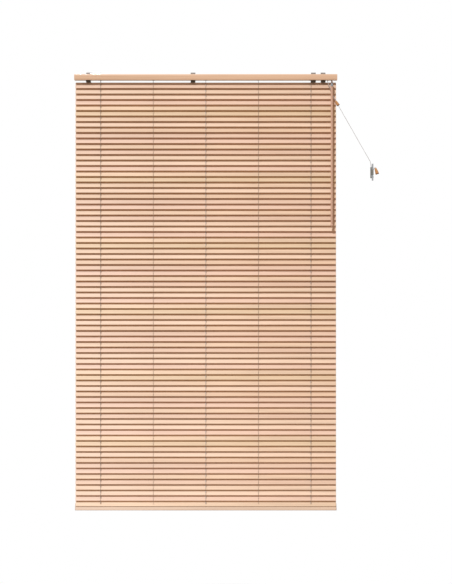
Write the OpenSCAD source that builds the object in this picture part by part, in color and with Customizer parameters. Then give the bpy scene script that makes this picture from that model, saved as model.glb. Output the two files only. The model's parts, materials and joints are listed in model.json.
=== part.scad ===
// Venetian blind with bamboo slats, hung from wall brackets.
// Millimetres. X runs along the slats, +Z is up, and the wall is the plane y = 0 with the room at -y.
// The origin is on the wall, at the centre of the screw pattern of the two outer brackets.

/* [Headrail] */
// Length of the headrail and of its wooden front
rail_len = 1000; // [900:1:1300]
// Depth of the headrail, wall to room
rail_depth = 25; // [25:0.5:30]
// Height of the headrail
rail_height = 20; // [20:0.5:24]
// Sheet thickness of the headrail
rail_wall = 0.8; // [0.6:0.1:1.2]
// Height of the wooden front strip
front_height = 22; // [22:0.5:30]
// Thickness of the wooden front strip
front_thick = 3; // [2:0.5:5]

/* [Slats] */
// Number of slats, a whole number of groups
slat_count = 77; // [42:7:84]
// Length of a slat
slat_len = 993; // [890:1:1290]
// Width of a slat
slat_width = 25; // [23:0.5:27]
// Thickness of a slat
slat_thick = 2; // [1:0.1:2]
// Height from one slat to the next
slat_pitch = 20.95; // [19:0.05:24]
// Angle of the closed slats from level
closed_tilt = 64; // [55:1:68]
// Drop from the headrail's axis to the first slat's axis
first_drop = 29.5; // [29.5:0.5:40]

/* [Bottom rail] */
// Thickness of the bottom rail
foot_thick = 8; // [6:0.5:10]
// Drop from the last slat's axis to the bottom rail's axis
foot_drop = 14.5; // [13.5:0.5:22]

/* [Cords] */
// Distance from one ladder to the next
ladder_pitch = 200; // [180:1:240]
// Diameter of a ladder cord
ladder_dia = 1; // [0.8:0.1:1.2]
// Diameter of a lift cord
lift_dia = 1.4; // [1:0.1:1.6]
// Diameter of the pull cord
pull_dia = 1.6; // [1.2:0.1:2]

/* [Wand] */
// Length of the wooden wand
wand_len = 528; // [300:1:900]
// Diameter of the wooden wand
wand_dia = 9; // [7:0.5:10]

/* [Brackets] */
// Distance from the centre to each outer bracket
bracket_reach = 448; // [420:1:448]
// Width of a bracket
bracket_width = 18; // [16:0.5:22]
// Distance between a bracket's two screw holes
screw_pitch = 14; // [12:0.5:15]
// Diameter of a screw hole
screw_hole = 4.2; // [3.5:0.1:5]

/* [Hidden] */
GROUP = 7; // slats in one group of the stack
GROUPS = slat_count / GROUP;
LADDERS = 5;
GAP = 0.3; // running clearance between moving pieces
CORD_SIDES = 8;

// Headrail
rail_back = -3;
rail_y = rail_back - rail_depth / 2;
rail_front = rail_back - rail_depth;
extra_depth = rail_depth - 25;
rail_top = rail_height / 2;
rail_lip = 3;
cap_thick = 1.5;
clip_gap = 1.5;
front_y = rail_front - clip_gap;

// Ladders and slats
ladder_x = [for (i = [0:LADDERS - 1]) (i - (LADDERS - 1) / 2) * ladder_pitch];
lift_x = [ladder_x[0], ladder_x[2], ladder_x[4]];
slot_len = slat_thick * tan(closed_tilt) + lift_dia / cos(closed_tilt) + 1.1;
slot_width = lift_dia + 1;
half_depth = slat_width / 2 * cos(closed_tilt) + slat_thick / 2 * sin(closed_tilt);
cord_reach = half_depth + GAP + ladder_dia / 2;
foot_z = slat_z(slat_count) - foot_drop;
foot_rise = slat_width / 2 * sin(closed_tilt) + foot_thick / 2 * cos(closed_tilt);
foot_top = foot_thick / 2 / cos(closed_tilt) + lift_dia / 2 * tan(closed_tilt);
floor_slot = 2 * (cord_reach + ladder_dia / 2 + 0.4);
cradle_wall = 0.8;

// Tilt mechanism
rod_size = 5;
drum_r = 7;
drum_flange_r = 8;
drum_len = 10;
journal_r = 5.5;
journal_len = 3;
wheel_root_r = 4.4;
wheel_tip_r = 5.5;
wheel_teeth = 12;
wheel_len = 7;
worm_r = 2.6;
stem_r = 1.6;
stem_angle = 25;
ball_r = 2.4;
tilter_x = 479 + (rail_len - 1000) / 2;
tilter_len = 18;
worm_offset = wheel_tip_r + worm_r + 0.2;
worm_y = rail_y + worm_offset * sin(stem_angle);
worm_z = -worm_offset * cos(stem_angle);

// Wand
hook_y = rail_front - 9.37;
stem_reach = (worm_y - hook_y) / cos(stem_angle);
hook_z = worm_z - stem_reach * sin(stem_angle);
shank_r = 1.4;
wand_top = hook_z - 11;

// Cord lock
lock_x = 463 + (rail_len - 1000) / 2;
lock_len = 12;
lock_exit_y = rail_front + 4;
roller_y = rail_y - 5;
roller_z = -5;
roller_r = 2.2;
roller_pin_r = 1.2;

// Brackets
bracket_x = [-bracket_reach, -49, bracket_reach - 37, bracket_reach];
plate_thick = 1.5;
plate_top = 21.5;
plate_foot = -17;
arm_thick = 1.2;
latch_arm_top = -rail_top - 1;
latch_play = 0.05;
latch_pin_r = 1.6;
latch_thick = 2.4;
latch_y = -11;
latch_r = 8;
latch_tab_z = -16.8;

// Cleat, beside the blind on the wall
cleat_x = 634.6 + (rail_len - 1000) / 2;
cleat_z = -361;
cleat_base = 42;
cleat_width = 12;
cleat_hole_pitch = 28;

// Bells: the joiner on the cords and the tassel at the end
bell_bore_r = 1.6;
joiner_len = 21.5;
joiner_r = 6;
joiner_mid = [498.4, -37, -100];
joiner_lean = 29.8;
tassel_len = 25;
tassel_r = 6.8;
tassel_lean = 18;
tassel_top = [644, -37, -346];

// Routes of the free cords, chosen by hand for a headrail of 1000
cord_shift = [(rail_len - 1000) / 2, -extra_depth, 0];
lock_route = [[463, -24, -9.5], [463.5, -25.5, -15], [465, -28.5, -22], [468.5, -30.2, -32],
    [475, -30.4, -48], [482, -30.8, -66], [488, -33.5, -79], [492.6, -36.6, -89.6], [495.4, -37, -94.8]];
pull_route = [[501.4, -37, -105.2], [505, -37, -111.5], [520, -36.6, -138.5], [540, -35.8, -173],
    [560, -35, -208], [580, -34, -243], [600, -33, -277.5], [616, -32, -305], [625, -30, -321],
    [628, -26.5, -331], [629.4, -21, -341], [631, -16.5, -348], [634.6, -15.2, -351],
    [638.6, -16.5, -350], [641.2, -21, -347.5], [642.4, -28, -344.8], [643.3, -34, -343.6],
    [644, -36.6, -345], [645.4, -37, -350.4]];

SLATS = [for (g = [0:GROUPS - 1]) str("slat_", two(g * GROUP + (GROUP + 1) / 2))];
LADDER_NODES = [for (g = [0:GROUPS - 1]) str("ladder_", two(g + 1))];

function two(n) = n < 10 ? str("0", n) : str(n);
function slat_z(number) = -first_drop - (number - 1) * slat_pitch;
function unit(v) = v / norm(v);
function heading(route, i) =
    unit(route[min(i + 1, len(route) - 1)] - route[max(i - 1, 0)]);
function ring(centre, along, r) =
    let (side = unit(cross(along, [0, 1, 0])), up = cross(side, along))
    [for (k = [0:CORD_SIDES - 1]) centre + r * (cos(360 * k / CORD_SIDES) * side
        + sin(360 * k / CORD_SIDES) * up)];

// A round cord swept along a route, closed at both ends
module cord(route, dia) {
    last = len(route) - 1;
    points = [for (i = [0:last]) each ring(route[i], heading(route, i), dia / 2)];
    walls = [for (i = [0:last - 1]) for (k = [0:CORD_SIDES - 1])
        let (a = i * CORD_SIDES + k, b = i * CORD_SIDES + (k + 1) % CORD_SIDES)
        [a, b, b + CORD_SIDES, a + CORD_SIDES]];
    start = [for (k = [CORD_SIDES - 1:-1:0]) k];
    end = [for (k = [0:CORD_SIDES - 1]) last * CORD_SIDES + k];
    polyhedron(points, concat([start], walls, [end]));
}

// A bar along X, centred on the origin
module bar(length, depth, height) {
    cube([length, depth, height], center = true);
}

// A round bar along X, centred on the origin
module round_bar(length, r) {
    rotate([0, 90, 0]) cylinder(h = length, r = r, center = true, $fn = 48);
}

// Everything below is placed about the axis that the headrail's pieces share
module on_axis(x, z = 0) {
    translate([x, rail_y, z]) children();
}

module headrail() {
    color("gainsboro") difference() {
        on_axis(0) bar(rail_len - 2 * cap_thick, rail_depth, rail_height);
        on_axis(0, rail_wall)
            bar(rail_len, rail_depth - 2 * rail_wall, rail_height);
        for (x = ladder_x) on_axis(x, -rail_top) bar(10, floor_slot, 4 * rail_wall);
        translate([lock_x, lock_exit_y, -rail_top])
            bar(8, 5, 4 * rail_wall);
        translate([tilter_x, rail_y - 2, -rail_top])
            bar(8, 17, 4 * rail_wall);
    }
    // the top's two folded lips
    color("gainsboro") for (side = [-1, 1])
        translate([0, rail_y + side * (rail_depth - rail_lip) / 2, rail_top - rail_wall / 2])
            bar(rail_len - 2 * cap_thick, rail_lip, rail_wall);
}

module wooden_front() {
    color("burlywood") translate([0, front_y - front_thick / 2, 0])
        bar(rail_len, front_thick, front_height);
}

// Spring clips between the headrail and its wooden front
module front_clips() {
    color("whitesmoke") for (x = [-300, -100, 100, 300])
        translate([x * rail_len / 1000, rail_front - clip_gap / 2, 0])
            bar(16, clip_gap, rail_height - 4);
}

module end_cap(side) {
    color("burlywood") translate([side * (rail_len - cap_thick) / 2, 0, 0]) {
        on_axis(0) bar(cap_thick, rail_depth, rail_height);
        translate([-side * (cap_thick / 2 + 2), 0, 0]) on_axis(0)
            bar(4, rail_depth - 2 * rail_wall - 2 * GAP, rail_height - 2 * rail_wall - 6);
    }
}

module end_cap_left() {
    end_cap(-1);
}

module end_cap_right() {
    end_cap(1);
}

// One steel bracket: wall plate, arm over the headrail, front lip, and a short arm below
module bracket() {
    reach = -rail_front + arm_thick;
    difference() {
        translate([0, -plate_thick / 2, (plate_top + plate_foot) / 2])
            bar(bracket_width, plate_thick, plate_top - plate_foot);
        for (side = [-1, 1]) translate([0, 0, side * screw_pitch / 2])
            rotate([90, 0, 0])
                cylinder(h = 4 * plate_thick, d = screw_hole, center = true, $fn = 48);
    }
    translate([0, -reach / 2, rail_top + arm_thick / 2]) bar(bracket_width, reach, arm_thick);
    translate([0, rail_front - 0.7, rail_top - 1]) bar(bracket_width, arm_thick - 0.2, 4);
    difference() {
        translate([0, -8.5, latch_arm_top - arm_thick / 2]) bar(bracket_width, 17, arm_thick);
        translate([0, latch_y, latch_arm_top])
            cylinder(h = 4 * arm_thick, r = latch_pin_r, center = true, $fn = 48);
    }
}

module brackets() {
    color("silver") for (x = bracket_x) translate([x, 0, 0]) bracket();
}

// Turning latch below the headrail, on its own rivet
module bracket_latch(x) {
    top = latch_arm_top - arm_thick - latch_play;
    foot = top - latch_thick;
    color("dimgray") translate([x, latch_y, 0]) {
        translate([0, 0, foot]) cylinder(h = latch_thick, r = latch_r, $fn = 64);
        translate([0, -7.5, (top + foot) / 2]) bar(2 * latch_r, 15, latch_thick);
        translate([0, -14, (foot + latch_tab_z) / 2]) bar(2 * latch_r, 2, foot - latch_tab_z);
        translate([0, 0, top])
            cylinder(h = arm_thick + 2 * latch_play, r = latch_pin_r - latch_play, $fn = 48);
        translate([0, 0, latch_arm_top + latch_play]) cylinder(h = 0.6, r = 2.6, $fn = 48);
    }
}

module bracket_latch_1() {
    bracket_latch(bracket_x[0]);
}

module bracket_latch_2() {
    bracket_latch(bracket_x[1]);
}

module bracket_latch_3() {
    bracket_latch(bracket_x[2]);
}

module bracket_latch_4() {
    bracket_latch(bracket_x[3]);
}

// Plastic supports in the headrail that carry the drums' journals
module drum_cradles() {
    color("white") for (x = ladder_x) on_axis(x) {
        floor = -rail_top + rail_wall;
        for (side = [-1, 1]) difference() {
            translate([side * 6.9, 0, (floor + 2) / 2])
                bar(2, floor_slot + 2 * cradle_wall, 2 - floor);
            round_bar(40, journal_r + 0.05);
            translate([0, 0, 5]) bar(40, 8, 10);
        }
        for (side = [-1, 1]) translate([0, side * (floor_slot + cradle_wall) / 2, floor + 1.4])
            bar(15.8, cradle_wall, 2.8);
    }
}

// Drums that wind the ladders, one at each ladder
module ladder_drums() {
    color("whitesmoke") for (x = ladder_x) on_axis(x) difference() {
        union() {
            round_bar(drum_len + 2 * journal_len + 1, journal_r);
            round_bar(drum_len, drum_r);
            for (side = [-1, 1]) translate([side * (drum_len - 1) / 2, 0, 0])
                round_bar(1, drum_flange_r);
        }
        bar(40, rod_size, rod_size);
    }
}

module tilt_rod() {
    start = ladder_x[0] - 20;
    end = tilter_x + 5;
    color("silver") on_axis((start + end) / 2) bar(end - start, rod_size, rod_size);
}

module worm_wheel() {
    tooth = 360 / wheel_teeth;
    color("ivory") on_axis(tilter_x) difference() {
        union() {
            round_bar(wheel_len, wheel_root_r);
            for (k = [0:wheel_teeth - 1]) rotate([k * tooth, 0, 0])
                translate([0, 0, (wheel_root_r + wheel_tip_r) / 2 - 0.3])
                    bar(wheel_len, 1.2, wheel_tip_r - wheel_root_r + 0.4);
        }
        bar(40, rod_size, rod_size);
    }
}

// Places a child on the worm's axis, with +Z pointing down and out along the stem
module on_worm() {
    translate([tilter_x, worm_y, worm_z]) rotate([90 + stem_angle, 0, 0]) children();
}

// Worm and its stem, which ends in a small ball for the wand's clip
module worm_stem() {
    color("ivory") on_worm() {
        translate([0, 0, -4.5]) cylinder(h = 9, r = worm_r, $fn = 48);
        cylinder(h = stem_reach, r = stem_r, $fn = 48);
        translate([0, 0, stem_reach]) sphere(r = ball_r, $fn = 48);
    }
}

module tilter_housing() {
    color("white") difference() {
        translate([tilter_x, rail_y, -0.3])
            bar(tilter_len, rail_depth - 2 * rail_wall - 0.4, rail_height - 2 * rail_wall - 0.6);
        on_axis(tilter_x) round_bar(wheel_len + 1, wheel_tip_r + GAP);
        on_axis(tilter_x) round_bar(40, rod_size * 0.75);
        on_worm() translate([0, 0, -5]) cylinder(h = 40, r = worm_r + GAP, $fn = 48);
        on_axis(tilter_x, rail_height / 2) bar(wheel_len + 1, 2 * wheel_tip_r + 1, rail_height);
    }
}

// Clip that grips the stem's ball from both sides, with a headed shank for the sleeve
module wand_hook() {
    color("silver") translate([tilter_x, hook_y, hook_z]) {
        difference() {
            for (side = [-1, 1]) translate([side * 2.6, 0, 0]) {
                round_bar(1.4, 2.6);
                translate([0, 0, -2.2]) bar(1.4, 5.2, 4.4);
            }
            sphere(r = ball_r + 0.05, $fn = 48);
        }
        translate([0, 0, -3.7]) bar(6.6, 5.2, 1.4);
        translate([0, 0, -8.2]) cylinder(h = 4, r = shank_r, $fn = 48);
        translate([0, 0, -9.2]) cylinder(h = 1, r = 2.2, $fn = 48);
    }
}

// Clear plastic sleeve that joins the hook to the wand
module wand_sleeve() {
    color("lightcyan") translate([tilter_x, hook_y, hook_z]) difference() {
        union() {
            translate([0, 0, -11]) cylinder(h = 6, r = wand_dia / 2 - 0.5, $fn = 48);
            translate([0, 0, -17]) cylinder(h = 7, r = wand_dia / 2 + 0.7, $fn = 48);
        }
        translate([0, 0, -12]) cylinder(h = 10, r = shank_r + 0.05, $fn = 48);
        translate([0, 0, -10]) cylinder(h = 2, r = 2.5, $fn = 48);
        translate([0, 0, -18]) cylinder(h = 7, r = wand_dia / 2 + 0.03, $fn = 48);
    }
}

module wand() {
    color("burlywood") translate([tilter_x, hook_y, wand_top - wand_len])
        cylinder(h = wand_len, d = wand_dia, $fn = 48);
}

// Turned wooden end of the wand
module wand_ferrule() {
    color("tan") translate([tilter_x, hook_y, wand_top - wand_len]) rotate_extrude($fn = 48)
        polygon([[0, 0], [wand_dia / 2, 0], [wand_dia / 2 + 0.8, -2], [wand_dia / 2 + 0.8, -7],
            [wand_dia / 2 - 1, -10], [0, -10]]);
}

module cord_lock() {
    color("white") difference() {
        translate([lock_x, rail_y, -0.3])
            bar(lock_len, rail_depth - 2 * rail_wall - 0.4, rail_height - 2 * rail_wall - 0.6);
        // the pocket for the roller, with the cords in front of it
        translate([lock_x, rail_y - 6, -6.5]) bar(8, 9, 8);
        translate([lock_x - 5, rail_front + 2.2, -6.5]) bar(6, 3.6, 8);
        translate([lock_x, roller_y, roller_z]) round_bar(lock_len + 2, roller_pin_r + 0.05);
        on_axis(lock_x) round_bar(lock_len + 2, rod_size * 0.75);
    }
}

// Roller that grips the cords, on its own pin
module lock_roller() {
    color("peru") translate([lock_x, roller_y, roller_z]) {
        round_bar(7.4, roller_r);
        round_bar(lock_len - 1, roller_pin_r);
    }
}

// The lift cords' runs along the headrail to the lock
module headrail_cords() {
    end = lock_x - 2;
    color("linen") for (i = [0:2])
        translate([(lift_x[i] + end) / 2, rail_front + 1.6, -rail_top + 1.8 + i * 1.6])
            round_bar(end - lift_x[i], lift_dia / 2);
}

module lift_cords() {
    top = -drum_r - GAP;
    end = foot_z + foot_top + 1;
    color("linen") for (x = lift_x) translate([x, rail_y, end])
        cylinder(h = top - end, d = lift_dia, $fn = 24);
}

// The gathered cords from the lock to the joiner
module lock_cords() {
    color("linen") translate(cord_shift) cord(lock_route, pull_dia * 1.4);
}

module bell(length, r) {
    rotate_extrude($fn = 64) polygon([[bell_bore_r, 0], [r * 0.45, 0], [r * 0.55, -1],
        [r * 0.65, -length * 0.4], [r * 0.9, -length * 0.8], [r, -length + 2],
        [r * 0.92, -length], [bell_bore_r, -length]]);
}

module cord_joiner() {
    color("burlywood") translate(joiner_mid + cord_shift) rotate([0, -joiner_lean, 0])
        translate([0, 0, joiner_len / 2]) bell(joiner_len, joiner_r);
}

module pull_cord() {
    color("linen") translate(cord_shift) cord(pull_route, pull_dia);
}

module cord_tassel() {
    color("burlywood") translate(tassel_top + cord_shift) rotate([0, -tassel_lean, 0])
        bell(tassel_len, tassel_r);
}

// Wall cleat with two horns for winding the cord on
module cord_cleat() {
    color("lightslategray") translate([cleat_x, 0, cleat_z]) {
        difference() {
            translate([0, -1.5, 0]) bar(cleat_width, 3, cleat_base);
            for (side = [-1, 1]) translate([0, 0, side * cleat_hole_pitch / 2]) rotate([90, 0, 0])
                cylinder(h = 20, d = 3.6, center = true, $fn = 48);
        }
        translate([0, -12.5 - extra_depth / 2, 0]) bar(7, 21 + extra_depth, 14);
        translate([0, -24 - extra_depth, 0]) bar(8, 4, 20);
        for (side = [-1, 1]) translate([0, -25 - extra_depth, side * 20]) rotate([side * 8, 0, 0])
            bar(6, 3.4, 24);
    }
}

// One bamboo slat about its own axis, with a slot for each lift cord
module slat(number) {
    on_axis(0, slat_z(number)) rotate([closed_tilt, 0, 0]) difference() {
        bar(slat_len, slat_width, slat_thick);
        for (x = lift_x) translate([x, 0, 0]) {
            bar(slot_width, slot_len - slot_width, 2 * slat_thick);
            for (side = [-1, 1]) translate([0, side * (slot_len - slot_width) / 2, 0])
                cylinder(h = 2 * slat_thick, d = slot_width, center = true, $fn = 32);
        }
    }
}

// The slats that stand between the separately hinged ones
module slats_between() {
    color("wheat") for (number = [1:slat_count])
        if (number % GROUP != (GROUP + 1) / 2) slat(number);
}

module hinged_slat(group) {
    color("wheat") slat(group * GROUP + (GROUP + 1) / 2);
}

// The upright cords of all five ladders beside one group of slats
module ladder(group) {
    top = group == 0 ? -4 : slat_z(group * GROUP + 1) + slat_pitch / 2 - 0.1;
    end = group == GROUPS - 1 ? foot_z + foot_rise + 0.1 : slat_z((group + 1) * GROUP) - slat_pitch / 2 + 0.1;
    color("tan") for (x = ladder_x) for (side = [-1, 1])
        translate([x, rail_y + side * cord_reach, end]) cylinder(h = top - end, d = ladder_dia, $fn = 16);
}

module bottom_rail() {
    color("burlywood") on_axis(0, foot_z) rotate([closed_tilt, 0, 0]) difference() {
        bar(slat_len, slat_width, foot_thick);
        for (x = lift_x) translate([x, 0, -foot_thick]) {
            cylinder(h = foot_thick + 2.5, d = 8, $fn = 48);
            cylinder(h = 2 * foot_thick, d = 2.4, $fn = 48);
        }
    }
}

module rail_end_caps() {
    color("tan") on_axis(0, foot_z) rotate([closed_tilt, 0, 0]) for (side = [-1, 1])
        translate([side * (slat_len / 2 + 0.6), 0, 0]) bar(1.2, slat_width, foot_thick);
}

// Plugs that close the bottom rail's holes from below
module rail_buttons() {
    color("tan") on_axis(0, foot_z) rotate([closed_tilt, 0, 0]) for (x = lift_x)
        translate([x, 0, -foot_thick / 2]) {
            translate([0, 0, -1]) cylinder(h = 1, d = 11, $fn = 48);
            cylinder(h = 1, d = 7.6, $fn = 48);
        }
}

module rail_knots() {
    color("linen") for (x = lift_x) on_axis(x, foot_z) sphere(r = 2, $fn = 24);
}

headrail();
wooden_front();
front_clips();
end_cap_left();
end_cap_right();
brackets();
bracket_latch_1();
bracket_latch_2();
bracket_latch_3();
bracket_latch_4();
drum_cradles();
ladder_drums();
tilt_rod();
worm_wheel();
worm_stem();
tilter_housing();
wand_hook();
wand_sleeve();
wand();
wand_ferrule();
cord_lock();
lock_roller();
headrail_cords();
lift_cords();
lock_cords();
cord_joiner();
pull_cord();
cord_tassel();
cord_cleat();
slats_between();
bottom_rail();
rail_end_caps();
rail_buttons();
rail_knots();
for (g = [0:GROUPS - 1]) {
    ladder(g);
    hinged_slat(g);
}
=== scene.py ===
import json
import math

import bmesh
import bpy
from mathutils import Matrix, Vector


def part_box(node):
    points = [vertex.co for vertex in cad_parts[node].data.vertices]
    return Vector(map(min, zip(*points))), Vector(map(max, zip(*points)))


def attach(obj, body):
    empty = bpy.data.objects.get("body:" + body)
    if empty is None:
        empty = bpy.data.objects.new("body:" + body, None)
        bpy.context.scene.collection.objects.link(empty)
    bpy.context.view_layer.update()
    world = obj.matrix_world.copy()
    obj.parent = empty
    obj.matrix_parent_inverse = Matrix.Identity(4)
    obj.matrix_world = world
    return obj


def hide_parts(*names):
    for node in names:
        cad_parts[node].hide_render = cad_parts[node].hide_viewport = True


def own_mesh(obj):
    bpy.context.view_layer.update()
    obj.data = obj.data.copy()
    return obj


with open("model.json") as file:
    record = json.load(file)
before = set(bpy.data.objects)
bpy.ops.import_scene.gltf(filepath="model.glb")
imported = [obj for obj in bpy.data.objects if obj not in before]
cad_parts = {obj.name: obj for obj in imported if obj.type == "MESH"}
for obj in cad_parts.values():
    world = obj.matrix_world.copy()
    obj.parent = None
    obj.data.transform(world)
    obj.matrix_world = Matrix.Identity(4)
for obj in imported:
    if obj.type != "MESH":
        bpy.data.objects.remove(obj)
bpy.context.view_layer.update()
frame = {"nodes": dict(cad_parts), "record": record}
NODES = frame["nodes"]
JOINTS = {j["name"]: j for j in frame["record"]["behaviour"]["joints"]}
MM = 0.001


def size_of(node):
    lo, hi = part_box(node)
    return Vector(hi) - Vector(lo)


def centre_of(node):
    lo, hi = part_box(node)
    return (Vector(hi) + Vector(lo)) / 2


# ---- sizes, worked out from the frame ----
GROUP = 7  # slats that share a hinged one
MIDDLE = (GROUP + 1) // 2  # the hinged slat's place in its group
SLAT_NODES = sorted(n for n in NODES if n.startswith("slat_"))
LADDER_NODES = sorted(n for n in NODES if n.startswith("ladder_") and n != "ladder_drums")
SLATS = GROUP * len(SLAT_NODES)
TILT = math.radians(JOINTS["tilt"]["range_deg"][1])
slat_len = size_of(SLAT_NODES[0]).x
slat_thick = 2 * MM
slat_width = 25 * MM
first = centre_of(SLAT_NODES[0])
pitch = (first.z - centre_of(SLAT_NODES[1]).z) / GROUP
axis_y = first.y
cord_reach = size_of(LADDER_NODES[0]).y / 2 - 0.5 * MM
level_reach = slat_width / 2 + 0.8 * MM
ladder_half = size_of(LADDER_NODES[0]).x / 2
ladder_x = [(k - 2) * ladder_half / 2 for k in range(5)]
lift_x = ladder_x[::2]
foot = centre_of("bottom_rail")
slot_len, slot_width = 8.4 * MM, 2.4 * MM
cord_diameter, gathered_diameter = 1.6 * MM, 2.24 * MM
ladder_diameter, lift_diameter = 1.0 * MM, 1.4 * MM


def slat_z(number):
    return first.z + pitch * (MIDDLE - number)


# ---- camera ----
def make_camera():
    """Level view from the room at the blind's mid height."""
    cam = bpy.data.objects.new("camera", bpy.data.cameras.new("camera"))
    bpy.context.scene.collection.objects.link(cam)
    cam.location = (0.077, -5.3, -0.817)
    cam.rotation_euler = (math.pi / 2, 0, 0)
    cam.data.sensor_width = 36
    cam.data.lens = 36 * 5.27 / 2.22
    bpy.context.scene.camera = cam


# ---- materials ----
def new_material(name, rough=0.5, metal=0.0, coat=0.0, transmission=0.0, sheen=0.0):
    mat = bpy.data.materials.new(name)
    mat.use_nodes = True
    shader = mat.node_tree.nodes["Principled BSDF"]
    shader.inputs["Roughness"].default_value = rough
    shader.inputs["Metallic"].default_value = metal
    shader.inputs["Coat Weight"].default_value = coat
    shader.inputs["Transmission Weight"].default_value = transmission
    shader.inputs["Sheen Weight"].default_value = sheen
    return mat, mat.node_tree, shader


def noise_of(tree, scale, stretch, shift, detail=4.0):
    """Noise in the piece's own coordinates, stretched per axis."""
    place = tree.nodes.new("ShaderNodeTexCoord")
    mapping = tree.nodes.new("ShaderNodeMapping")
    mapping.inputs["Scale"].default_value = stretch
    mapping.inputs["Location"].default_value = shift
    noise = tree.nodes.new("ShaderNodeTexNoise")
    noise.inputs["Scale"].default_value = scale
    noise.inputs["Detail"].default_value = detail
    tree.links.new(place.outputs["Object"], mapping.inputs["Vector"])
    tree.links.new(mapping.outputs["Vector"], noise.inputs["Vector"])
    return noise.outputs["Fac"]


def ramp_of(tree, value, colours, low=0.3, high=0.7):
    ramp = tree.nodes.new("ShaderNodeValToRGB")
    ramp.color_ramp.elements[0].position = low
    ramp.color_ramp.elements[1].position = high
    ramp.color_ramp.elements[0].color = (*colours[0], 1)
    ramp.color_ramp.elements[1].color = (*colours[1], 1)
    tree.links.new(value, ramp.inputs["Fac"])
    return ramp.outputs["Color"]


def bump_on(tree, shader, value, depth):
    bump = tree.nodes.new("ShaderNodeBump")
    bump.inputs["Distance"].default_value = depth
    bump.inputs["Strength"].default_value = 0.5
    tree.links.new(value, bump.inputs["Height"])
    tree.links.new(bump.outputs["Normal"], shader.inputs["Normal"])


def multiply(tree, a, b):
    mix = tree.nodes.new("ShaderNodeMix")
    mix.data_type = "RGBA"
    mix.blend_type = "MULTIPLY"
    mix.inputs["Factor"].default_value = 1.0
    tree.links.new(a, mix.inputs["A"])
    tree.links.new(b, mix.inputs["B"])
    return mix.outputs["Result"]


def wood(name, base, seed=0.0, along="x", contrast=0.86, rough=0.42, coat=0.15):
    """Lacquered wood or bamboo: fine grain and broader streaks along one axis."""
    mat, tree, shader = new_material(name, rough, coat=coat)
    fine = {"x": (6, 900, 900), "z": (900, 900, 6)}[along]
    broad = {"x": (1.4, 60, 60), "z": (60, 60, 3)}[along]
    shift = (seed * 3.1, seed * 1.7, seed * 2.3)
    grain = noise_of(tree, 1.0, fine, shift)
    streak = noise_of(tree, 1.0, broad, shift, detail=6.0)
    dark = tuple(c * contrast for c in base)
    light = tuple(min(1, c * 1.04) for c in base)
    colour = multiply(
        tree,
        ramp_of(tree, streak, (dark, light)),
        ramp_of(tree, grain, ((0.86, 0.82, 0.78), (1, 1, 1)), 0.35, 0.6),
    )
    tree.links.new(colour, shader.inputs["Base Color"])
    bump_on(tree, shader, grain, 0.00008)
    return mat


def plastic(name, base, rough=0.4, transmission=0.0):
    """Moulded plastic with a slight mottle and fine surface texture."""
    mat, tree, shader = new_material(name, rough, transmission=transmission)
    mottle = noise_of(tree, 120.0, (1, 1, 1), (0, 0, 0))
    tree.links.new(
        ramp_of(tree, mottle, (tuple(c * 0.93 for c in base), base)), shader.inputs["Base Color"]
    )
    bump_on(tree, shader, noise_of(tree, 1500.0, (1, 1, 1), (0, 0, 0)), 0.00003)
    return mat


def metal(name, base, rough=0.35):
    """Plated sheet steel with rolling marks."""
    mat, tree, shader = new_material(name, rough, metal=1.0)
    marks = noise_of(tree, 1.0, (40, 900, 900), (0, 0, 0))
    tree.links.new(
        ramp_of(tree, marks, (tuple(c * 0.88 for c in base), base)), shader.inputs["Base Color"]
    )
    bump_on(tree, shader, marks, 0.00002)
    return mat


def painted(name, base, rough=0.4):
    mat, tree, shader = new_material(name, rough, coat=0.2)
    orange_peel = noise_of(tree, 400.0, (1, 1, 1), (0, 0, 0))
    tree.links.new(
        ramp_of(tree, orange_peel, (tuple(c * 0.97 for c in base), base)), shader.inputs["Base Color"]
    )
    bump_on(tree, shader, orange_peel, 0.00002)
    return mat


def braid(name, base):
    """Braided polyester cord."""
    mat, tree, shader = new_material(name, 0.8, sheen=0.3)
    weave = noise_of(tree, 1600.0, (1, 1, 1), (0, 0, 0), detail=2.0)
    tree.links.new(
        ramp_of(tree, weave, (tuple(c * 0.75 for c in base), base)), shader.inputs["Base Color"]
    )
    bump_on(tree, shader, weave, 0.0001)
    return mat


SLAT_TINTS = [
    (0.86, 0.64, 0.46), (0.88, 0.67, 0.50), (0.84, 0.61, 0.43), (0.88, 0.64, 0.50), (0.86, 0.66, 0.44),
    (0.83, 0.60, 0.45), (0.89, 0.68, 0.52), (0.85, 0.62, 0.47), (0.87, 0.66, 0.47),
]
MAT = {
    "slats": [wood(f"bamboo_{k}", tint, seed=k + 1.0) for k, tint in enumerate(SLAT_TINTS)],
    "front": wood("front_wood", (0.92, 0.66, 0.47), seed=20.0, contrast=0.9, coat=0.3),
    "foot": wood("foot_bamboo", (0.74, 0.56, 0.42), seed=21.0),
    "wand": wood("wand_wood", (0.78, 0.52, 0.40), seed=22.0, along="z", coat=0.3),
    "bell": wood("bell_wood", (0.72, 0.38, 0.16), seed=23.0, along="z", rough=0.25, coat=0.6),
    "bell_foot": wood("bell_foot_wood", (0.20, 0.09, 0.05), seed=24.0, along="z", rough=0.3, coat=0.4),
    "paint": painted("white_paint", (0.85, 0.84, 0.81)),
    "zinc": metal("zinc_plate", (0.62, 0.63, 0.65)),
    "rod": metal("drawn_steel", (0.70, 0.70, 0.71), 0.25),
    "inner": plastic("white_plastic", (0.82, 0.81, 0.77)),
    "dark": plastic("dark_plastic", (0.07, 0.07, 0.06), 0.5),
    "brown": plastic("brown_plastic", (0.24, 0.12, 0.07), 0.35),
    "clear": plastic("clear_blue_plastic", (0.72, 0.84, 0.95), 0.15, transmission=0.6),
    "cleat": plastic("grey_translucent_plastic", (0.30, 0.33, 0.32), 0.25, transmission=0.2),
    "cord": braid("light_grey_braid", (0.52, 0.52, 0.54)),
    "ladder": braid("beige_braid", (0.34, 0.27, 0.21)),
}


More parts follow.
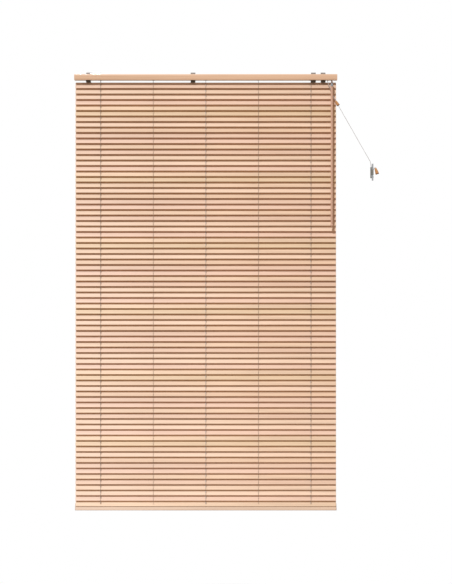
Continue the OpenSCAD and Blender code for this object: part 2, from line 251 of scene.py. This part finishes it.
# ---- mesh helpers ----
def new_piece(name, mesh, mat, body):
    """A smooth-shaded piece; body is None where the caller places it before it rides."""
    obj = bpy.data.objects.new(name, mesh)
    bpy.context.scene.collection.objects.link(obj)
    mesh.shade_smooth()
    mesh.set_sharp_from_angle(angle=math.radians(35))
    if not mesh.materials:
        mesh.materials.append(mat)
    if body is not None:
        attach(obj, body)
    return obj


def mesh_from(name, points, faces):
    mesh = bpy.data.meshes.new(name)
    mesh.from_pydata([tuple(p) for p in points], [], faces)
    mesh.validate()
    mesh.update()
    return mesh


def rounded(width, height, radius, steps=4):
    """Outline of a rectangle with round corners, about the origin."""
    out = []
    for k, (sx, sy) in enumerate(((1, 1), (-1, 1), (-1, -1), (1, -1))):
        for i in range(steps + 1):
            a = math.pi / 2 * (k + i / steps)
            out.append(
                (
                    sx * (width / 2 - radius) + radius * math.cos(a),
                    sy * (height / 2 - radius) + radius * math.sin(a),
                )
            )
    return out


def prism_x(name, outline, x0, x1, edge):
    """An outline in Y and Z run along X, its end edges eased by edge."""
    cy = sum(p[0] for p in outline) / len(outline)
    cz = sum(p[1] for p in outline) / len(outline)
    n = len(outline)
    half = max(abs(p[1] - cz) for p in outline)
    rings = [(x0, 1 - edge / half), (x0 + edge, 1), (x1 - edge, 1), (x1, 1 - edge / half)]
    points, faces = [], []
    for x, s in rings:
        points += [(x, cy + (y - cy) * s, cz + (z - cz) * s) for y, z in outline]
    for r in range(len(rings) - 1):
        for i in range(n):
            a, b = r * n + i, r * n + (i + 1) % n
            faces.append((a, b, b + n, a + n))
    faces += [tuple(range(n))[::-1], tuple(range((len(rings) - 1) * n, len(rings) * n))]
    return mesh_from(name, points, faces)


def lathe(name, profile, turns=40):
    """A profile of (radius, height) points turned about Z."""
    points, faces = [], []
    m = len(profile)
    for k in range(turns):
        a = 2 * math.pi * k / turns
        points += [(r * math.cos(a), r * math.sin(a), z) for r, z in profile]
    for k in range(turns):
        for i in range(m - 1):
            a, b = k * m + i, ((k + 1) % turns) * m + i
            faces.append((a, b, b + 1, a + 1))
    mesh = mesh_from(name, points, faces)
    work = bmesh.new()
    work.from_mesh(mesh)
    bmesh.ops.remove_doubles(work, verts=work.verts, dist=1e-7)
    bmesh.ops.holes_fill(work, edges=work.edges, sides=0)
    bmesh.ops.recalc_face_normals(work, faces=work.faces)
    work.to_mesh(mesh)
    work.free()
    return mesh


def plate_with_holes(name, length, width, thick, holes, bevel):
    """A flat board in X and Y, its holes cut through and all its edges rounded."""
    curve = bpy.data.curves.new(name, "CURVE")
    curve.dimensions = "2D"
    curve.fill_mode = "BOTH"
    curve.extrude = thick / 2 - bevel
    curve.bevel_depth = bevel
    curve.bevel_resolution = 2
    loops = [rounded(length - 2 * bevel, width - 2 * bevel, 1.2 * MM)]
    for x, run, wide in holes:
        reach = run / 2 - wide / 2
        loop = []
        for i in range(9):
            a = math.pi * i / 8
            loop.append((x + (wide / 2 + bevel) * math.cos(a), reach + (wide / 2 + bevel) * math.sin(a)))
        for i in range(9):
            a = math.pi + math.pi * i / 8
            loop.append((x + (wide / 2 + bevel) * math.cos(a), -reach + (wide / 2 + bevel) * math.sin(a)))
        loops.append(loop[::-1])
    for loop in loops:
        line = curve.splines.new("POLY")
        line.points.add(len(loop) - 1)
        for point, (x, y) in zip(line.points, loop):
            point.co = (x, y, 0, 1)
        line.use_cyclic_u = True
    temporary = bpy.data.objects.new(name + "_outline", curve)
    bpy.context.scene.collection.objects.link(temporary)
    bpy.context.view_layer.update()
    graph = bpy.context.evaluated_depsgraph_get()
    mesh = bpy.data.meshes.new_from_object(temporary.evaluated_get(graph))
    bpy.data.objects.remove(temporary)
    mesh.materials.clear()
    mesh.name = name
    return mesh


def tube_mesh(name, route, diameter, sides=8):
    """A thin round cord along straight pieces."""
    points, faces = [], []
    route = [Vector(p) for p in route]
    for i, p in enumerate(route):
        along = (route[min(i + 1, len(route) - 1)] - route[max(i - 1, 0)]).normalized()
        side = along.orthogonal().normalized()
        if i and side.dot(last_side) < 0.9:
            side = (last_side - along * last_side.dot(along)).normalized()
        last_side = side
        up = along.cross(side)
        for k in range(sides):
            a = 2 * math.pi * k / sides
            points.append(p + diameter / 2 * (math.cos(a) * side + math.sin(a) * up))
    for i in range(len(route) - 1):
        for k in range(sides):
            a, b = i * sides + k, i * sides + (k + 1) % sides
            faces.append((a, b, b + sides, a + sides))
    faces += [tuple(range(sides))[::-1], tuple(range(len(points) - sides, len(points)))]
    return mesh_from(name, points, faces)


def shift_with(obj, by):
    """Gives obj a mesh of its own when by is not zero; obj itself is not moved."""
    by = Vector(by)
    if by.length > 1e-6:
        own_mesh(obj)


# ---- free cords ----
LOCK_ROUTE = [(463, -24, -9.5), (463.5, -25.5, -15), (465, -28.5, -22), (468.5, -30.2, -32),
    (475, -30.4, -48), (482, -30.8, -66), (488, -33.5, -79), (492.6, -36.6, -89.6), (495.4, -37, -94.8)]
PULL_ROUTE = [(501.4, -37, -105.2), (505, -37, -111.5), (520, -36.6, -138.5), (540, -35.8, -173),
    (560, -35, -208), (580, -34, -243), (600, -33, -277.5), (616, -32, -305), (625, -30, -321),
    (628, -26.5, -331), (629.4, -21, -341), (631, -16.5, -348), (634.6, -15.2, -351),
    (638.6, -16.5, -350), (641.2, -21, -347.5), (642.4, -28, -344.8), (643.3, -34, -343.6),
    (644, -36.6, -345), (645.4, -37, -350.4)]


def free_cord(name, route, diameter, node):
    curve = bpy.data.curves.new(name, "CURVE")
    curve.dimensions = "3D"
    curve.bevel_depth = diameter / 2
    curve.bevel_resolution = 3
    curve.use_fill_caps = True
    line = curve.splines.new("POLY")
    line.points.add(len(route) - 1)
    for point, place in zip(line.points, route):
        point.co = (*(c * MM for c in place), 1)
    curve.materials.append(MAT["cord"])
    obj = bpy.data.objects.new(name, curve)
    bpy.context.scene.collection.objects.link(obj)
    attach(obj, "frame_body")
    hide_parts(node)
    return obj


def bell(name, node, top, lean, length, radius):
    """Turned wooden bell with a dark foot, bored for its cord."""
    r, h = radius, length
    bore = 1.6 * MM
    profile = [(bore, 0), (r * 0.36, 0.3 * MM), (r * 0.46, -0.5 * MM), (r * 0.58, -h * 0.12),
        (r * 0.70, -h * 0.3), (r * 0.82, -h * 0.5), (r * 0.92, -h * 0.7), (r * 0.98, -h * 0.82),
        (r, -h * 0.88), (r * 0.99, -h * 0.95), (r * 0.9, -h), (bore, -h), (bore, 0)]
    place = Matrix.Translation(top) @ Matrix.Rotation(-lean, 4, "Y")
    obj = new_piece(name, lathe(name, profile), MAT["bell"], None)
    obj.data.materials.append(MAT["bell_foot"])
    for face in obj.data.polygons:
        if face.center.z < -h * 0.86:
            face.material_index = 1
    obj.matrix_world = place
    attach(obj, "frame_body")
    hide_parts(node)
    return obj


def make_cords():
    lean = math.radians(29.8)
    up = Vector((-math.sin(lean), 0, math.cos(lean)))
    joiner = bell("joiner_bell", "cord_joiner", Vector((498.4, -37, -100)) * MM + up * 10.75 * MM,
        lean, 21.5 * MM, 6 * MM)
    tassel = bell("tassel_bell", "cord_tassel", Vector((644, -37, -346)) * MM, math.radians(18),
        25 * MM, 6.8 * MM)
    gathered = free_cord("gathered_cords", LOCK_ROUTE, gathered_diameter, "lock_cords")
    pull = free_cord("pull_cord_line", PULL_ROUTE, cord_diameter, "pull_cord")


# ---- slats, ladders and lift cords ----
def make_slats():
    holes = [(x, slot_len, slot_width) for x in lift_x]
    board = plate_with_holes("slat_board", slat_len, slat_width, slat_thick, holes, 0.7 * MM)
    for number in range(1, SLATS + 1):
        group = (number - 1) // GROUP
        node = SLAT_NODES[group]
        centre = Vector((0, axis_y, slat_z(number)))
        place = Matrix.Translation(centre) @ Matrix.Rotation(TILT, 4, "X")
        mesh = board.copy()
        tint = (number * 5 + number // 4) % len(SLAT_TINTS)
        slat = new_piece(f"bamboo_slat_{number:02d}", mesh, MAT["slats"][tint], None)
        slat.matrix_world = place
        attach(slat, "hinged_" + node)
        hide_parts(node if number == group * GROUP + MIDDLE else "slats_between")
        offset = slat_z(number) - slat_z(group * GROUP + MIDDLE)
        # the shift that puts a turned neighbour back at its own height
        back = Vector((0, -math.sin(TILT) * offset, (math.cos(TILT) - 1) * offset))
        shift_with(slat, back)
        rungs = make_rungs(number, place, "hinged_" + node)
        shift_with(rungs, back)


def make_rungs(number, place, body):
    """The ladders' flat cross tapes under one slat, thin enough for a closed stack's gaps."""
    points, faces = [], []
    wide, thin = 0.7 * MM, 0.28
    middle = -slat_thick / 2 - 0.15 * MM
    for x in ladder_x:
        ends = [(x + 1.2 * MM, side * level_reach, middle) for side in (-1, 1)]
        part = tube_mesh("rung", ends, wide, sides=6)
        base = len(points)
        for v in part.vertices:
            points.append(Vector((v.co.x, v.co.y, middle + (v.co.z - middle) * thin)))
        faces += [tuple(base + i for i in face.vertices) for face in part.polygons]
    mesh = mesh_from(f"rungs_{number:02d}", points, faces)
    rungs = new_piece(f"ladder_rungs_{number:02d}", mesh, MAT["ladder"], None)
    rungs.matrix_world = place
    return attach(rungs, body)


def make_ladders():
    for group, node in enumerate(LADDER_NODES):
        lo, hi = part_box(node)
        body = "frame_body" if group == 0 else f"ladder_group_{group + 1:02d}"
        for side in (-1, 1):
            points, faces = [], []
            for x in ladder_x:
                y = axis_y + side * cord_reach
                part = tube_mesh("cord", [(x, y, hi[2]), (x, y, lo[2])], ladder_diameter)
                base = len(points)
                points += [v.co.copy() for v in part.vertices]
                faces += [tuple(base + i for i in face.vertices) for face in part.polygons]
            name = f"ladder_cords_{group + 1:02d}_{'front' if side < 0 else 'rear'}"
            cords = new_piece(name, mesh_from(name, points, faces), MAT["ladder"], body)
            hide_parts(node)
            shift_with(cords, (0, side * (level_reach - cord_reach), 0))


def make_lift_cords():
    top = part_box("lift_cords")[1][2]
    for k, x in enumerate(lift_x):
        route = [(x, axis_y, top), (x, axis_y, foot.z + 18 * MM), (x, axis_y, foot.z + 11.5 * MM)]
        name = f"lift_cord_{k + 1}"
        cord = new_piece(name, tube_mesh(name, route, lift_diameter), MAT["cord"], "frame_body")
        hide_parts("lift_cords")
        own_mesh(cord)


def make_foot():
    bevelled_copy("foot_rail_board", "bottom_rail", MAT["foot"], "foot_rail", 0.7 * MM)


# ---- headrail front, wand, cleat ----
def make_front():
    lo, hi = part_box("wooden_front")
    depth, height = hi[1] - lo[1], hi[2] - lo[2]
    outline, steps = [], 24
    for i in range(steps + 1):
        t = -1 + 2 * i / steps
        outline.append((hi[1] - depth * (1 - 0.45 * abs(t) ** 3), t * height / 2))
    outline += [(hi[1], height / 2), (hi[1], -height / 2)]
    mesh = prism_x("front_board", outline, lo[0], hi[0], 0.6 * MM)
    board = new_piece("front_board", mesh, MAT["front"], "frame_body")
    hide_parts("wooden_front")


def make_wand():
    place = centre_of("wand")
    lo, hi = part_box("wand")
    r = (hi[0] - lo[0]) / 2
    z0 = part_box("wand_ferrule")[0][2]
    waist = hi[2] - 200 * MM
    profile = [(0, hi[2]), (r * 0.9, hi[2]), (r, hi[2] - 0.6 * MM), (r * 0.98, waist),
        (r, lo[2] + 2 * MM), (r * 0.86, lo[2]), (r * 1.12, lo[2] - 2 * MM), (r * 1.14, lo[2] - 5 * MM),
        (r * 1.0, z0 + 2 * MM), (r * 0.6, z0), (0, z0)]
    mesh = lathe("wand_stick_turned", profile)
    stick = new_piece("wand_stick_turned", mesh, MAT["wand"], None)
    stick.matrix_world = Matrix.Translation((place.x, place.y, 0))
    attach(stick, "wand_stick")
    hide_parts("wand", "wand_ferrule")


def bevelled_copy(name, node, mat, body, width):
    """The CAD node's own form with its hard edges eased."""
    source = NODES[node]
    mesh = source.data.copy()
    mesh.transform(source.matrix_world)
    mesh.materials.clear()
    work = bmesh.new()
    work.from_mesh(mesh)
    bmesh.ops.remove_doubles(work, verts=work.verts, dist=1e-6)
    bmesh.ops.dissolve_limit(work, angle_limit=math.radians(2), verts=work.verts, edges=work.edges)
    work.to_mesh(mesh)
    work.free()
    obj = new_piece(name, mesh, mat, body)
    bevel = obj.modifiers.new("eased", "BEVEL")
    bevel.width = width
    bevel.segments = 2
    bevel.limit_method = "ANGLE"
    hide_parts(node)
    return obj


def make_cleat():
    """The wall cleat, its two slim horns in a paler, clearer plastic than its body."""
    cleat = bevelled_copy(
        "wall_cleat", "cord_cleat", MAT["cleat"], "frame_body", 0.9 * MM
    )
    cleat.data.materials.append(MAT["clear"])
    middle = centre_of("cord_cleat")
    for face in cleat.data.polygons:
        if abs(face.center.z - middle.z) > 9 * MM and face.center.y < middle.y - 6 * MM:
            face.material_index = 1


def paint_cad():
    """Carried-over CAD nodes get their finished materials."""
    finish = {
        "headrail": "paint", "end_cap_left": "front", "end_cap_right": "front", "front_clips": "inner",
        "drum_cradles": "inner", "ladder_drums": "inner", "tilt_rod": "rod", "worm_wheel": "inner",
        "worm_stem": "brown", "tilter_housing": "inner", "wand_hook": "brown", "wand_sleeve": "clear",
        "cord_lock": "inner", "lock_roller": "inner", "headrail_cords": "cord", "rail_knots": "cord",
        "rail_buttons": "brown", "rail_end_caps": "brown", "brackets": "zinc",
        "bracket_latch_1": "dark", "bracket_latch_2": "dark", "bracket_latch_3": "dark",
        "bracket_latch_4": "dark",
    }
    for node, key in finish.items():
        mesh = NODES[node].data
        mesh.materials.clear()
        mesh.materials.append(MAT[key])


# ---- stage and light ----
def make_stage():
    work = bmesh.new()
    bmesh.ops.create_circle(work, cap_ends=True, segments=96, radius=1.5)
    mesh = bpy.data.meshes.new("floor")
    work.to_mesh(mesh)
    work.free()
    floor = bpy.data.objects.new("floor", mesh)
    bpy.context.scene.collection.objects.link(floor)
    floor.location = (0.07, 0, -2.25)
    mat, tree, shader = new_material("pale_floor", 0.9)
    tree.links.new(
        ramp_of(tree, noise_of(tree, 3.0, (1, 1, 1), (0, 0, 0)), ((0.86, 0.86, 0.86), (0.9, 0.9, 0.9))),
        shader.inputs["Base Color"],
    )
    mesh.materials.append(mat)


LIT_FROM_ALL_ROUND = 0.40
SEEN_BEHIND = 1.0
KEY = 2.35


def make_light():
    world = bpy.data.worlds.new("studio")
    world.use_nodes = True
    world.node_tree.nodes["Background"].inputs["Color"].default_value = (1.0, 0.76, 0.60, 1)
    world.node_tree.nodes["Background"].inputs["Strength"].default_value = LIT_FROM_ALL_ROUND
    bpy.context.scene.world = world
    bpy.context.scene.view_settings.view_transform = "Standard"
    tree = world.node_tree
    seen = tree.nodes.new("ShaderNodeBackground")
    seen.inputs["Color"].default_value = (1, 1, 1, 1)
    seen.inputs["Strength"].default_value = SEEN_BEHIND
    path = tree.nodes.new("ShaderNodeLightPath")
    mix = tree.nodes.new("ShaderNodeMixShader")
    tree.links.new(path.outputs["Is Camera Ray"], mix.inputs["Fac"])
    tree.links.new(tree.nodes["Background"].outputs["Background"], mix.inputs[1])
    tree.links.new(seen.outputs["Background"], mix.inputs[2])
    tree.links.new(mix.outputs["Shader"], tree.nodes["World Output"].inputs["Surface"])
    data = bpy.data.lights.new("key", "SUN")
    data.energy = KEY
    data.angle = math.radians(6)
    lamp = bpy.data.objects.new("key", data)
    bpy.context.scene.collection.objects.link(lamp)
    lamp.rotation_euler = Vector((0.25, 0.65, -0.75)).to_track_quat("-Z", "Y").to_euler()


make_camera()
make_cords()
make_light()
make_stage()
make_slats()
make_ladders()
make_lift_cords()
make_foot()
make_front()
make_wand()
make_cleat()
paint_cad()
